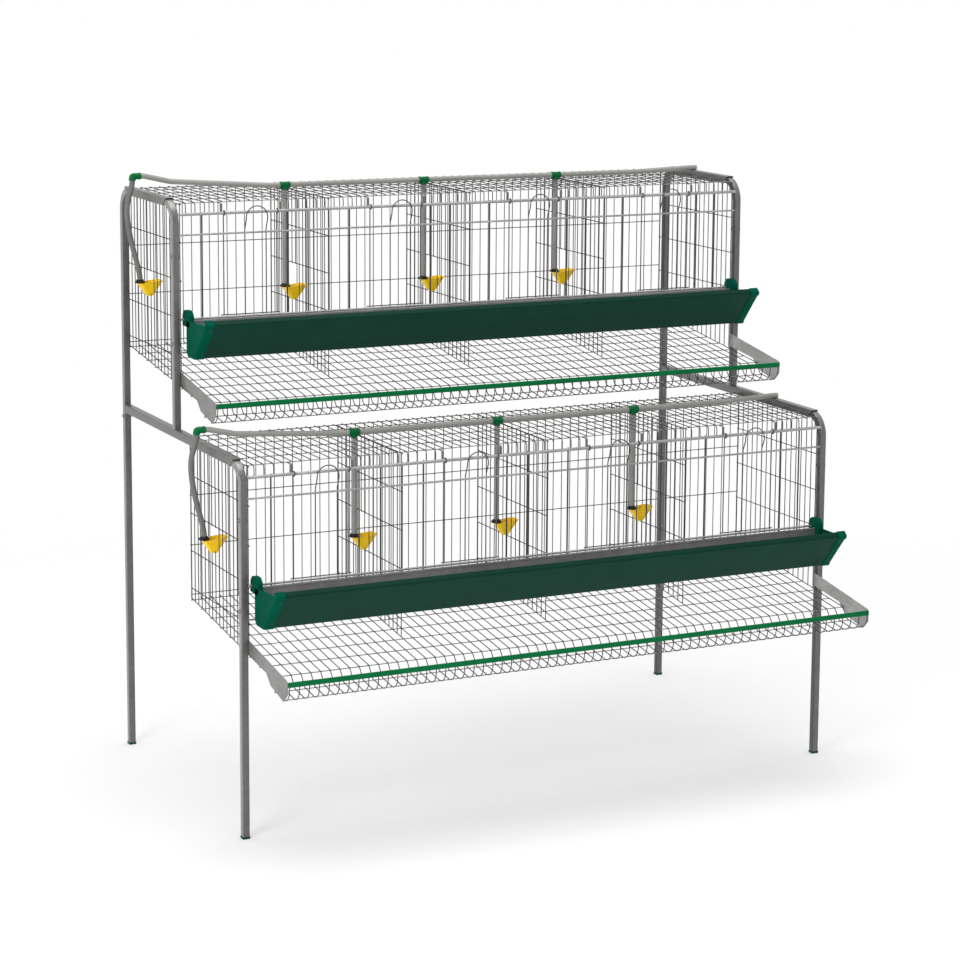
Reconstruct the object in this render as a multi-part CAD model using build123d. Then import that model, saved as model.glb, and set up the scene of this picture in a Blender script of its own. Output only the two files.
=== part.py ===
from build123d import *
import math
import os

os.makedirs("parts", exist_ok=True)

# Cage: compartments side by side, wire mesh all round
compartments = 4
compartment = 400.0
cage_depth = 400.0
mesh_pitch = 25.0
mesh_wire = 2.5
top_z = 922.0
tier_step = 462.0

# Frame: square tube legs plugged into slightly larger rails
tube = 18.0
tube_wall = 1.2
tube_corner = 1.8
side_gap = 5.0
bend_radius = 55.0
rail_drop = 1.0
rail_wall = 1.5
plug_gap = 0.1
plug_depth = 30.0
bend_gap = 2.0
rear_inset = 6.0
foot_height = 6.0
foot_overhang = 1.0
spigot_height = 22.0

# Bolts through the uprights
bolt_d = 6.0
bolt_head_af = 10.0
bolt_head = 4.0
bolt_nut = 3.0
bolt_gap = 0.1
upper_bolt_z = 789.0
lower_bolt_z = 567.0
rear_bolt_z = 900.0

# Front: heavy rods between the uprights with bars welded behind them
bar_front = 6.0
bar = 4.0
bars_per_compartment = 7
fixed_bars = (1, 5, 6)
upper_rod_d = 8.0
upper_rod_z = 893.0
lower_rod_d = 5.0
lower_rod_z = 841.0
hanger_rod_d = 6.0
hanger_rod_z = 629.0
bottom_rod_d = 5.0
bottom_rod_z = 545.0

# Doors: wire flaps hung on the upper rod
door_wire = 3.0
door_gap = 0.3
eye_gap = 0.06
eye_sides = 12
door_bottom_z = 634.0
door_overhang = 8.0
handle_bars = (3, 4)
hung_bars = (2, 4.5)
jog_start = 6.0
jog_height = 26.0
arch_drop = 13.5

# Clips that tie the cut front edge of the top mesh to the upper rod
clip_width = 7.0
clip_thick = 1.5
clip_reach = 1.0

# Mesh panels
lip_bend = 10.0
top_cross_first = 18.0
top_cross_step = 85.0
back_rungs = (514.0, 642.0, 770.0)
shelf_z = 627.5
side_rung_step = 97.0
side_rungs = (-1, 0, 1, 2)
back_skirt = 8.0

# Sloping floor that runs out into an egg gutter
floor_z = 455.0
floor_slope = math.radians(7)
floor_cross_step = 67.0
kink_y = -135.0
gutter_back_y = -158.0
gutter_back_z = 411.0
gutter_y = -250.0
gutter_radius = 32.0
curl_steps = 3
strip_thick = 6.0
strip_height = 13.0
strip_z = 442.0
strip_round = 1.5

# Sheet plates at the ends of the gutter
plate = 1.5
plate_leg = 16.0
plate_leg_top = 498.0
plate_leg_bottom = 462.0
plate_front_top = 457.0
plate_front_low = 425.0
plate_nose = 402.0
plate_nose_back = 26.0
plate_step_y = -142.0
plate_step_z = 420.0
plate_step_run = 30.0
plate_step_rise = 26.0
plate_round = 10.0

# Feed trough: folded sheet with moulded end caps that hook on the hanger rod
trough_sheet = 1.2
trough_rear_y = -17.0
trough_rear_top = 629.0
trough_rear_low = 549.0
trough_floor_back = (-26.0, 539.5)
trough_floor_front = (-75.0, 539.5)
trough_front_top = (-153.8, 632.4)
trough_lip = 16.2
trough_lip_lean = math.radians(39)
cap_gap = 10.0
cap_plate = 3.0
cap_flange = 25.0
cap_wall = 2.0
hook_width = 13.0
hook_front = 41.0
hook_back = 9.0
hook_rise = 25.0
hook_drop = 16.0
hook_bevel = 12.0
hook_gap = 0.06
hook_mouth = 5.4

# Water line on top of the cage, with drop tubes to cup drinkers
water_slot = 9
water_side = 25.0
pipe_d = 14.0
pipe_wall = 2.0
fitting_wall = 2.0
fitting_gap = 0.05
socket = 11.0
fitting_stop = 6.0
branch_drop = 14.0
branch_socket = 6.0
inlet_lift = 36.0
inlet_run = 19.0
sag_run = 72.0
sag_lift = 19.2
sag_end = 45.0
outlet_run = 170.0
pipe_bend = 60.0
elbow_reach = 11.0
elbow_side = 17.0
elbow_drop = 11.0
outlet_over = 8.0
outlet_plug = 3.0
water_clear = 5.4
valve_d = 27.0
valve_height = 9.0
cup_left = 33.0
cup_right = 34.0
cup_width = 42.0
cup_height = 41.0
end_cup_lift = 30.0
cup_foot_x = 22.0
cup_foot_y = 20.0
cup_wall = 2.0
cup_step = 7.0
cup_step_x = 8.0
cup_round = 6.0

# Supply hose route between the elbow and the first drinker: how far out from the drinker, and height
hose_route = (
    (17.0, 945.0),
    (33.0, 898.0),
    (31.0, 848.0),
    (20.0, 790.0),
    (0.0, 718.0),
)
hose_ease = 0.45


def evenly(start, length, pitch):
    """Places along a length, as near to the pitch as whole steps allow."""
    steps = round(length / pitch)
    return [start + length * i / steps for i in range(steps + 1)]


# Places worked out from the driving sizes
cage_half = compartments * compartment / 2
planes = [compartment * i - cage_half for i in range(compartments + 1)]
half_wire = mesh_wire / 2
bar_pitch = compartment / bars_per_compartment
leg_inner = cage_half + side_gap
tube_x = leg_inner + tube / 2
leg_y = tube / 2
rear_y = leg_y + tier_step + cage_depth - rear_inset
rail = tube + 2 * (plug_gap + rail_wall)
rail_axis_z = top_z - rail_drop
rail_top = rail_axis_z + tube / 2 + rail_wall
rail_inner_x = tube_x - rail / 2
rod_y = bar_front - upper_rod_d / 2
panel_y0 = bar_front + bar + half_wire
panel_y1 = panel_y0 + cage_depth
panel_ys = evenly(panel_y0, cage_depth, mesh_pitch)
mesh_xs = evenly(-cage_half, 2 * cage_half, mesh_pitch)
top_xs = [(left + right) / 2 for left, right in zip(mesh_xs, mesh_xs[1:])]
top_low = top_z - half_wire
top_high = top_z + half_wire
back_y = panel_y1 + half_wire
top_cross_y = [top_cross_first + top_cross_step * i for i in range(int(cage_depth / top_cross_step) + 1)]
floor_rows = int((back_y - kink_y) / floor_cross_step)
floor_cross_y = [kink_y + mesh_wire + floor_cross_step * i for i in range(floor_rows + 1)]
plate_inner = leg_inner - plate
rung_zs = [shelf_z + side_rung_step * i for i in side_rungs]
shelf_top = shelf_z + half_wire
water_y = (panel_ys[water_slot] + panel_ys[water_slot + 1]) / 2
water_xs = [x - water_side for x in planes[:-1]]
socket_d = pipe_d + 2 * fitting_gap
fitting_d = socket_d + 2 * fitting_wall
bore_d = pipe_d - 2 * pipe_wall
pipe_z = top_high + fitting_d / 2
inlet_z = pipe_z + inlet_lift
inlet_top = inlet_z + pipe_d / 2
elbow_x = water_xs[0] - elbow_side
outlet_end = tube_x + outlet_over
elbow_low = inlet_z - elbow_drop
cup_top = shelf_top + cup_height
valve_low = cup_top - cup_step
valve_top = valve_low + valve_height
hook_y = bar_front - hanger_rod_d / 2
door_y = bar_front + door_gap + door_wire / 2
handle_y = rod_y - upper_rod_d / 2 - door_gap - door_wire / 2
zone_left = hung_bars[0] * bar_pitch - door_overhang
zone_right = hung_bars[1] * bar_pitch + door_overhang
cap_outer = leg_inner - cap_gap
lip_reach = (trough_lip * math.cos(trough_lip_lean), trough_lip * math.sin(trough_lip_lean))
trough_lip_tip = (trough_front_top[0] + lip_reach[0], trough_front_top[1] + lip_reach[1])

# The upper tier's gutter clears the lower tier's water line
gutter_low = gutter_back_z + math.tan(floor_slope) * (gutter_y - gutter_back_y)
tier_rise = inlet_top + water_clear - gutter_low


# Basic shapes
def box(x0, x1, y0, y1, z0, z1):
    middle = Pos((x0 + x1) / 2, (y0 + y1) / 2, (z0 + z1) / 2)
    return middle * Box(x1 - x0, y1 - y0, z1 - z0)


def rod(x0, x1, y, z, d):
    return Pos((x0 + x1) / 2, y, z) * Rot(0, 90, 0) * Cylinder(d / 2, x1 - x0)


def post(x, y, z0, z1, d):
    return Pos(x, y, (z0 + z1) / 2) * Cylinder(d / 2, z1 - z0)


def side_profile(points, x0, x1):
    outline = Plane.YZ.offset(x0) * make_face(Polyline(*points, close=True))
    return extrude(outline, amount=x1 - x0)


def shifted(path, distance):
    """Move a side-view path to its left by a distance, with mitred corners."""
    normals = []
    for (y0, z0), (y1, z1) in zip(path, path[1:]):
        run = math.hypot(y1 - y0, z1 - z0)
        normals.append(((z0 - z1) / run, (y1 - y0) / run))
    before = [normals[0]] + normals
    after = normals + [normals[-1]]
    moved = []
    for (y, z), (ay, az), (by, bz) in zip(path, before, after):
        scale = distance / (1 + ay * by + az * bz)
        moved.append((y + (ay + by) * scale, z + (az + bz) * scale))
    return moved


def strip(path, d0, d1):
    return shifted(path, d0) + shifted(path, d1)[::-1]


def bent_wire(path, size):
    return side_profile(strip(path, -size / 2, size / 2), -size / 2, size / 2)


def across(shape, xs):
    return [Pos(x, 0, 0) * shape for x in xs]


def group(shapes):
    return Compound([solid for shape in shapes for solid in shape.solids()])


# Frame
def square(size):
    return chamfer(Rectangle(size, size).vertices(), tube_corner)


def tube_section(plane):
    bore = tube - 2 * tube_wall
    return plane * (square(tube) - Rectangle(bore, bore))


def bent_tube(foot, corner, tip, bolts):
    path = FilletPolyline((0, *foot), (0, *corner), (0, *tip), radius=bend_radius)
    body = sweep(tube_section(Plane((0, *foot))), path=path)
    for bolt_z in bolts:
        body -= rod(-tube, tube, foot[0], bolt_z, bolt_d + 2 * bolt_gap)
    return body


def rail_tube(y0, y1, axis_z):
    bore = Rectangle(tube + 2 * plug_gap, tube + 2 * plug_gap)
    end = Plane((0, y0, axis_z - plug_gap), x_dir=(1, 0, 0), z_dir=(0, 1, 0))
    return extrude(end * (square(rail) - bore), amount=y1 - y0)


def foot_plug():
    flange = tube + 2 * foot_overhang
    spigot = tube - 2 * (tube_wall + plug_gap)
    base = extrude(square(flange), amount=foot_height)
    top = extrude(Rectangle(spigot, spigot), amount=spigot_height)
    return base + Pos(0, 0, foot_height) * top


def bolt():
    reach = tube / 2
    hexagon = Plane.YZ * RegularPolygon(bolt_head_af / math.sqrt(3), 6)
    head = Pos(reach, 0, 0) * extrude(hexagon, amount=bolt_head)
    nut = Pos(-reach - bolt_nut, 0, 0) * extrude(hexagon, amount=bolt_nut)
    return rod(-reach, reach, 0, 0, bolt_d) + head + nut


# Mesh panels
def top_panel():
    crown = (rod_y + lip_bend, top_z)
    lip = (rod_y, top_z - lip_bend)
    back = back_y + 2 * mesh_wire
    lipped = bent_wire([(back, top_z), crown, lip, (rod_y, upper_rod_z + upper_rod_d / 2)], mesh_wire)
    cut = box(-half_wire, half_wire, top_cross_y[0] - half_wire, back, top_low, top_high)
    wires = []
    for x in top_xs:
        place = (x + cage_half) % compartment
        in_zone = zone_left - half_wire < place < zone_right + half_wire
        wires.append(Pos(x, 0, 0) * (cut if in_zone else lipped))
    for y in top_cross_y:
        reach = rail_inner_x if y > leg_y + bend_radius + tube else cage_half
        wires.append(box(-reach, reach, y - half_wire, y + half_wire, top_low - mesh_wire, top_low))
    return wires


def floor_line(y):
    return floor_z + math.tan(floor_slope) * y


def floor_tray():
    fall = math.tan(floor_slope)
    centre_y = gutter_y + gutter_radius
    start_y = centre_y + gutter_radius * math.sin(floor_slope)
    centre_z = gutter_back_z + fall * (start_y - gutter_back_y) + gutter_radius * math.cos(floor_slope)
    back_end = back_y - half_wire * math.sin(floor_slope)
    path = [(back_end, floor_line(back_end)), (kink_y, floor_line(kink_y)), (gutter_back_y, gutter_back_z)]
    turn = math.pi / 2 + floor_slope
    for i in range(curl_steps + 1):
        angle = floor_slope - turn * i / curl_steps
        path.append((centre_y + gutter_radius * math.sin(angle), centre_z - gutter_radius * math.cos(angle)))
    path.append((gutter_y, strip_z))
    wires = across(bent_wire(path, mesh_wire), mesh_xs)
    rows = [(y, floor_line(y)) for y in floor_cross_y]
    for y in (gutter_back_y - 2 * mesh_wire, start_y):
        rows.append((y, gutter_back_z + fall * (y - gutter_back_y)))
    for y, z in rows:
        run = [(y, z), (y + mesh_wire * math.cos(floor_slope), z + mesh_wire * math.sin(floor_slope))]
        wires.append(side_profile(strip(run, -half_wire - mesh_wire, -half_wire), -plate_inner, plate_inner))
    return wires


def back_panel():
    low = floor_line(back_y) - back_skirt
    upright = box(-half_wire, half_wire, back_y, back_y + mesh_wire, low, top_low)
    wires = across(upright, mesh_xs)
    edge = cage_half + half_wire
    for z in back_rungs + (top_low - half_wire,):
        rung_y = back_y + mesh_wire
        wires.append(box(-edge, edge, rung_y, rung_y + mesh_wire, z - half_wire, z + half_wire))
    return wires


def side_panel(x, rung_side, cup_seat=None):
    wires = []
    window_top = shelf_z + side_rung_step - half_wire
    wire_top = top_low - mesh_wire
    cut_ys = [y for y in panel_ys if abs(y - water_y) < mesh_pitch]
    for y in panel_ys:
        low = floor_line(y + half_wire) + half_wire / math.cos(floor_slope)
        spans = [(low, wire_top)]
        if cup_seat and y in cut_ys:
            spans = [(low, cup_seat), (window_top, wire_top)]
        for z0, z1 in spans:
            wires.append(box(x - half_wire, x + half_wire, y - half_wire, y + half_wire, z0, z1))
    rung_x = x + rung_side * mesh_wire
    for z in rung_zs + [wire_top - half_wire]:
        wires.append(box(rung_x - half_wire, rung_x + half_wire, panel_y0 - half_wire, panel_y1 + half_wire,
                         z - half_wire, z + half_wire))
    return wires


# Front
def front_rods():
    rods = []
    for d, z in ((upper_rod_d, upper_rod_z), (lower_rod_d, lower_rod_z),
                 (hanger_rod_d, hanger_rod_z), (bottom_rod_d, bottom_rod_z)):
        rods.append(rod(-leg_inner, leg_inner, bar_front - d / 2, z, d))
    return rods


def front_bars():
    one = box(-bar / 2, bar / 2, bar_front, bar_front + bar, bottom_rod_z - bottom_rod_d / 2,
              upper_rod_z + upper_rod_d / 2)
    xs = [x + k * bar_pitch for x in planes[:-1] for k in fixed_bars]
    return across(one, xs + planes[1:-1])


def top_clips():
    run = [(rod_y, upper_rod_z + upper_rod_d / 2), (rod_y, top_low - mesh_wire - clip_thick / 2),
           (top_cross_y[0] + half_wire + clip_reach, top_low - mesh_wire - clip_thick / 2)]
    one = side_profile(strip(run, -clip_thick / 2, clip_thick / 2), -clip_width / 2, clip_width / 2)
    return across(one, [x + edge for x in planes[:-1] for edge in (zone_left, zone_right)])


def door():
    half = door_wire / 2
    hung = box(-half, half, door_y - half, door_y + half, door_bottom_z, upper_rod_z)
    bore = upper_rod_d / 2 + eye_gap
    turn = Plane((-half, rod_y, upper_rod_z), x_dir=(0, 1, 0), z_dir=(1, 0, 0))
    eye = RegularPolygon(bore + door_wire, eye_sides, major_radius=False)
    hole = RegularPolygon(bore, eye_sides, major_radius=False)
    hung = hung + extrude(turn * eye, amount=door_wire) - extrude(turn * hole, amount=door_wire)
    arch_radius = (handle_bars[1] - handle_bars[0]) * bar_pitch / 2
    arch_z = upper_rod_z - arch_drop
    jog_z = lower_rod_z + lower_rod_d / 2 + jog_start
    leg_path = [(door_y, door_bottom_z), (door_y, jog_z), (handle_y, jog_z + jog_height), (handle_y, arch_z)]
    leg = bent_wire(leg_path, door_wire)
    ring = Circle(arch_radius + half) - Circle(arch_radius - half)
    upper_half = Pos(0, arch_radius, 0) * Rectangle(4 * arch_radius, 2 * arch_radius)
    arch_x = sum(handle_bars) * bar_pitch / 2
    arch_plane = Plane((arch_x, handle_y + half, arch_z), x_dir=(1, 0, 0), z_dir=(0, -1, 0))
    arch = extrude(arch_plane * (ring & upper_half), amount=door_wire)
    sill = box(zone_left, zone_right, door_y - half, door_y + half, door_bottom_z - half, door_bottom_z + half)
    pieces = across(hung, [k * bar_pitch for k in hung_bars]) + across(leg, [k * bar_pitch for k in handle_bars])
    return sill.fuse(arch, *pieces)


# Egg gutter ends
def egg_strip():
    profile = RectangleRounded(strip_thick, strip_height, strip_round)
    place = Plane.YZ.offset(-plate_inner) * Pos(gutter_y, strip_z + strip_height / 2)
    return extrude(place * profile, amount=2 * plate_inner)


# Largest radius that leaves half of each edge beside a corner
def corner_room(before, corner, after):
    one, two = Vector(before) - Vector(corner), Vector(after) - Vector(corner)
    return min(one.length, two.length) / 2 * math.tan(math.radians(one.get_angle(two)) / 2)


def tray_plate():
    front = gutter_y
    corners = [(plate_leg, plate_leg_top), (front, plate_front_top), (front, plate_front_low),
               (front + plate_nose_back, plate_nose), (plate_step_y, plate_step_z),
               (plate_step_y + plate_step_run, plate_step_z + plate_step_rise),
               (tube / 2, plate_leg_bottom), (plate_leg, plate_leg_bottom)]
    face = make_face(Polyline(*corners, close=True))
    nose = face.vertices().sort_by(Axis.X)[:3]
    room = min(corner_room(*corners[i:i + 3]) for i in range(len(nose)))
    face = fillet(nose, min(plate_round, room))
    return extrude(Plane.YZ * face, amount=plate)


# Feed trough
trough_path = [(trough_rear_y, trough_rear_top), (trough_rear_y, trough_rear_low), trough_floor_back,
               trough_floor_front, trough_front_top, trough_lip_tip]


def trough():
    end = cap_outer - cap_plate
    return side_profile(strip(trough_path, -trough_sheet, 0), -end, end)


def trough_cap():
    inner = cap_outer - cap_flange
    body = side_profile(strip(trough_path, 0, cap_wall), inner, cap_outer)
    body += side_profile(shifted(trough_path, cap_wall), cap_outer - cap_plate, cap_outer)
    front, back = hook_y - hook_front, hook_y + hook_back
    low, high = hanger_rod_z - hook_drop, hanger_rod_z + hook_rise
    hook = [(front, low), (front, high - hook_bevel), (front + hook_bevel, high), (back - hook_bevel, high),
            (back, high - hook_bevel), (back, low)]
    body += side_profile(hook, cap_outer - hook_width, cap_outer)
    body -= side_profile(strip(trough_path, -trough_sheet, 0), inner, cap_outer - cap_plate)
    body -= rod(inner, cap_outer + cap_plate, hook_y, hanger_rod_z, hanger_rod_d + 2 * hook_gap)
    half_mouth = hook_mouth / 2
    return body - box(inner, cap_outer + cap_plate, hook_y - half_mouth, hook_y + half_mouth, low, hanger_rod_z)


# Water line and drinkers
def pipe(points, bends, closed=0.0):
    path = FilletPolyline(*points, radius=bends) if len(points) > 2 else Polyline(*points)
    along = Vector(*points[1]) - Vector(*points[0])
    start = Plane(points[0], x_dir=(0, 1, 0), z_dir=along)
    body = sweep(start * Circle(pipe_d / 2), path=path)
    bore = sweep(start * Circle(pipe_d / 2 - pipe_wall), path=path)
    if closed:
        tip = Vector(*points[-1])
        bore -= Pos(tip) * Box(2 * closed, pipe_d, pipe_d)
    return body - bore


def water_pipes():
    half_stop = fitting_stop / 2
    stops = water_xs[1:]
    spans = []
    for left, right in zip(stops, stops[1:]):
        spans.append(pipe([(left + half_stop, water_y, pipe_z), (right - half_stop, water_y, pipe_z)], None))
    inlet_end = elbow_x + elbow_reach
    level_end = inlet_end + inlet_run
    spans.append(pipe([(stops[0] - half_stop, water_y, pipe_z), (stops[0] - sag_end, water_y, pipe_z),
                       (level_end + sag_run, water_y, pipe_z + sag_lift), (level_end, water_y, inlet_z),
                       (inlet_end, water_y, inlet_z)], pipe_bend))
    rest_z = rail_top + pipe_d / 2
    spans.append(pipe([(stops[-1] + half_stop, water_y, pipe_z), (rail_inner_x - outlet_run, water_y, pipe_z),
                       (rail_inner_x, water_y, rest_z), (outlet_end, water_y, rest_z)], pipe_bend, outlet_plug))
    return spans


def tee():
    half = socket + fitting_stop / 2
    low = pipe_z - branch_drop
    body = rod(-half, half, water_y, pipe_z, fitting_d) + post(0, water_y, low, pipe_z, fitting_d)
    body -= rod(-half, -fitting_stop / 2, water_y, pipe_z, socket_d)
    body -= rod(fitting_stop / 2, half, water_y, pipe_z, socket_d)
    body -= rod(-half, half, water_y, pipe_z, bore_d)
    body -= post(0, water_y, low, low + branch_socket, socket_d)
    return body - post(0, water_y, low, pipe_z, bore_d)


def elbow():
    mouth = elbow_x + elbow_reach
    end = (mouth + socket, water_y, inlet_z)
    path = Polyline(end, (elbow_x, water_y, inlet_z), (elbow_x, water_y, elbow_low))
    start = Plane(end, x_dir=(0, 1, 0), z_dir=(-1, 0, 0))
    body = sweep(start * Circle(fitting_d / 2), path=path, transition=Transition.RIGHT)
    bore = sweep(start * Circle(bore_d / 2), path=path, transition=Transition.RIGHT)
    return body - bore - rod(mouth, mouth + socket, water_y, inlet_z, socket_d)


def drop_tubes():
    high = pipe_z - branch_drop + branch_socket
    one = post(0, water_y, valve_top, high, pipe_d) - post(0, water_y, valve_top, high, bore_d)
    return across(one, water_xs[1:])


def valve():
    return post(-water_side, water_y, valve_low, valve_top, valve_d)


def cup():
    middle = (cup_right - cup_left) / 2
    length = cup_left + cup_right

    def shell(inset, low, high):
        rim = RectangleRounded(length - 2 * inset, cup_width - 2 * inset, cup_round)
        foot = RectangleRounded(cup_foot_x - 2 * inset, cup_foot_y - 2 * inset, cup_round)
        return loft([Pos(0, water_y, low) * foot, Pos(middle, water_y, high) * rim])

    body = shell(0, shelf_top, cup_top) - shell(cup_wall, shelf_top + cup_wall, cup_top)
    return body - box(-2 * cup_left, -cup_step_x, water_y - cup_width, water_y + cup_width, valve_low, cup_top)


def drinkers(shape):
    return across(Pos(0, 0, end_cup_lift) * shape, planes[:1]) + across(shape, planes[1:-1])


def supply_hose():
    route = [(elbow_side, elbow_low), *hose_route, (0, valve_top + end_cup_lift)]
    points = [Vector(water_xs[0] - out, water_y, z) for out, z in route]
    runs = [b - a for a, b in zip(points, points[1:])]
    radii = []
    for a, b in zip(runs, runs[1:]):
        half_turn = math.radians(a.get_angle(b)) / 2
        radii.append(hose_ease * min(a.length, b.length) / math.tan(half_turn))
    path = FilletPolyline(*points, radius=radii)
    start = Plane(points[0], x_dir=(0, 1, 0), z_dir=runs[0])
    hose = sweep(start * (Circle(pipe_d / 2) - Circle(pipe_d / 2 - pipe_wall)), path=path)
    section = math.pi * (pipe_d - pipe_wall) * pipe_wall
    print("hose length", round(path.length, 1), "volume over section times length",
          round(hose.volume / section / path.length, 4))
    return hose


# Export, with the origin under the middle of the whole cage
x_low = water_xs[0] - valve_d / 2
x_high = tube_x + tube / 2 + bolt_head
y_low = gutter_y - strip_thick / 2
y_high = tier_step + back_y + 2 * mesh_wire
origin = Pos(-(x_low + x_high) / 2, -(y_low + y_high) / 2, 0)


def save(name, shapes, y=0.0, z=0.0):
    export_step(origin * Pos(0, y, z) * group(shapes), f"parts/{name}.step")


bolt_zs = (upper_bolt_z, lower_bolt_z)
leg_corner = (leg_y, rail_axis_z)
leg_tip = (leg_y + bend_radius + bend_gap + plug_depth, rail_axis_z)
leg = bent_tube((leg_y, foot_height), leg_corner, leg_tip, bolt_zs)
upright_y = leg_y + tier_step
upper_axis_z = rail_axis_z + tier_rise
upright = bent_tube((upright_y, rail_top), (upright_y, upper_axis_z),
                    (leg_tip[0] + tier_step, upper_axis_z), [z + tier_rise for z in bolt_zs])
rear_tip = (rear_y - bend_radius - bend_gap - plug_depth, upper_axis_z)
rear_post = bent_tube((rear_y, foot_height), (rear_y, upper_axis_z), rear_tip, (rear_bolt_z,))
rail_start = leg_y + bend_radius + bend_gap
cross_rail = rail_tube(rail_start, rear_y - tube / 2, rail_axis_z)
top_rail = rail_tube(rail_start + tier_step, rear_y - bend_radius - bend_gap, upper_axis_z)

for side, x in (("left", -tube_x), ("right", tube_x)):
    save(f"{side}_front_leg", across(leg, [x]))
    save(f"{side}_upper_upright", across(upright, [x]))
    save(f"{side}_rear_post", across(rear_post, [x]))
    save(f"{side}_cross_rail", across(cross_rail, [x]))
    save(f"{side}_top_rail", across(top_rail, [x]))

save("foot_plugs", [Pos(x, y, 0) * foot_plug() for x in (-tube_x, tube_x) for y in (leg_y, rear_y)])
bolt_places = [(leg_y, z) for z in bolt_zs] + [(upright_y, z + tier_rise) for z in bolt_zs]
bolt_places.append((rear_y, rear_bolt_z))
bolts = []
for y, z in bolt_places:
    bolts.append(Pos(tube_x, y, z) * bolt())
    bolts.append(Pos(-tube_x, y, z) * Rot(0, 0, 180) * bolt())
save("frame_bolts", bolts)

partitions = [wire for x in planes[1:-1] for wire in side_panel(x, 1, shelf_top)]
taper = (mesh_pitch - mesh_wire - cup_foot_y) / (cup_width - cup_foot_y)
end_cup_seat = shelf_top + end_cup_lift + cup_height * taper
one_cap = trough_cap()
tier_nodes = {
    "front_rods": front_rods(),
    "front_bars": front_bars(),
    "top_clips": top_clips(),
    "back_panel": back_panel(),
    "top_panel": top_panel(),
    "floor_tray": floor_tray(),
    "left_end_panel": side_panel(-cage_half, 1, end_cup_seat),
    "right_end_panel": side_panel(cage_half, -1),
    "partitions": partitions,
    "egg_strip": [egg_strip()],
    "tray_plates": across(tray_plate(), [-leg_inner, plate_inner]),
    "trough": [trough()],
    "trough_caps": [one_cap, mirror(one_cap, about=Plane.YZ)],
    "water_pipes": water_pipes(),
    "water_tees": across(tee(), water_xs[1:]),
    "water_elbow": [elbow()],
    "drop_tubes": drop_tubes(),
    "drinker_valves": drinkers(valve()),
    "drinker_cups": drinkers(cup()),
    "supply_hose": [supply_hose()],
}
one_door = door()
for number, x in enumerate(planes[:-1], start=1):
    tier_nodes[f"door_{number}"] = across(one_door, [x])

for tier, y, z in (("lower", 0.0, 0.0), ("upper", tier_step, tier_rise)):
    for node, shapes in tier_nodes.items():
        save(f"{tier}_{node}", shapes, y, z)

print("origin shift", tuple(round(v, 3) for v in origin.position), "tier rise", round(tier_rise, 3))
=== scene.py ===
import math

import bpy
import numpy as np
from mathutils import Matrix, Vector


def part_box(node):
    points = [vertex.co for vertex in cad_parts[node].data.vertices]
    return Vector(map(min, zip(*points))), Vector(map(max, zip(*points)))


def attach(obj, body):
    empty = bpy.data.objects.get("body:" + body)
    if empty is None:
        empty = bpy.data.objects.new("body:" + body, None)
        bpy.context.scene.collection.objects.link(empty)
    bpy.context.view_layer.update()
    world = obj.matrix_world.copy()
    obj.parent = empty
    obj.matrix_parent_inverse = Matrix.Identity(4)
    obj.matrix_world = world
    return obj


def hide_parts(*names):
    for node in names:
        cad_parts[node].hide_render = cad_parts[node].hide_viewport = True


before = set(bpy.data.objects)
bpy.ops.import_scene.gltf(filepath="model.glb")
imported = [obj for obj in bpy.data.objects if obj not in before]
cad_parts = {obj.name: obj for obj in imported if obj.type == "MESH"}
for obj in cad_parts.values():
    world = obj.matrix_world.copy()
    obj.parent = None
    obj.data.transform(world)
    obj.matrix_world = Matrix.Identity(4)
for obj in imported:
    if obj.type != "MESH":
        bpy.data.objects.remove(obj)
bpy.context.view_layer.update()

# The cage's own frame is in millimetres: mid width, front face of the legs, floor
metre = 1000.0  # in millimetres
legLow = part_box("left_front_leg")[0]
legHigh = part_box("right_front_leg")[1]
cageOrigin = np.array([(legLow.x + legHigh.x) / 2, legLow.y, 0.0])
tierStep = np.array(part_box("upper_front_rods")[0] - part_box("lower_front_rods")[0])
tierRise = tierStep[1:] * metre  # y and z from one tier to the next
tiers = {"lower": np.zeros(3), "upper": tierStep}
edgeAngles = {"sheet": 35, "wire": 60}  # degrees between two faces above which their edge is sharp
print("frame loaded")


# Shared surfaces, all in millimetres in the cage's frame
def roundProfile(diameter, sides):
    # radius times cosine and sine of evenly spaced angles
    angle = np.arange(sides) * 2 * np.pi / sides
    return np.stack([np.cos(angle), np.sin(angle)], 1) * diameter / 2


def boxProfile(width, height, corner, steps=4):
    # four quarter circles, one round each corner's centre
    quarter = np.arange(4)[:, None] * np.pi / 2
    angle = quarter + np.linspace(0, np.pi / 2, steps)
    reach = np.array([width, height]) / 2 - corner
    middle = np.stack([np.cos(quarter + np.pi / 4), np.sin(quarter + np.pi / 4)], -1)
    arc = np.stack([np.cos(angle), np.sin(angle)], -1) * corner
    return (np.sign(middle) * reach + arc).reshape(-1, 2)


def roundedPath(points, radius, steps=7, share=0.48):
    # each corner plus its two directions times the squares of (1 - t) and t, within a share of its edges
    points = [np.asarray(p, float) for p in points]
    t = np.linspace(0, 1, steps)[:, None]
    line = [points[0][None]]
    for before, corner, after in zip(points, points[1:], points[2:]):
        back, ahead = before - corner, after - corner
        room = share * min(np.linalg.norm(back), np.linalg.norm(ahead))
        back, ahead = back / np.linalg.norm(back), ahead / np.linalg.norm(ahead)
        turn = math.acos(np.clip(-(back @ ahead), -1, 1))
        reach = min(radius * math.tan(turn / 2), room)
        line.append(corner + reach * (back * (1 - t) ** 2 + ahead * t ** 2))
    line.append(points[-1][None])
    return np.concatenate(line)


def arcPath(centre, radius, start, stop, count):
    # centre plus radius times cosine and sine of the angle, in degrees
    angle = np.radians(np.linspace(start, stop, count))
    return np.asarray(centre) + radius * np.stack([np.cos(angle), np.sin(angle)], 1)


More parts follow.
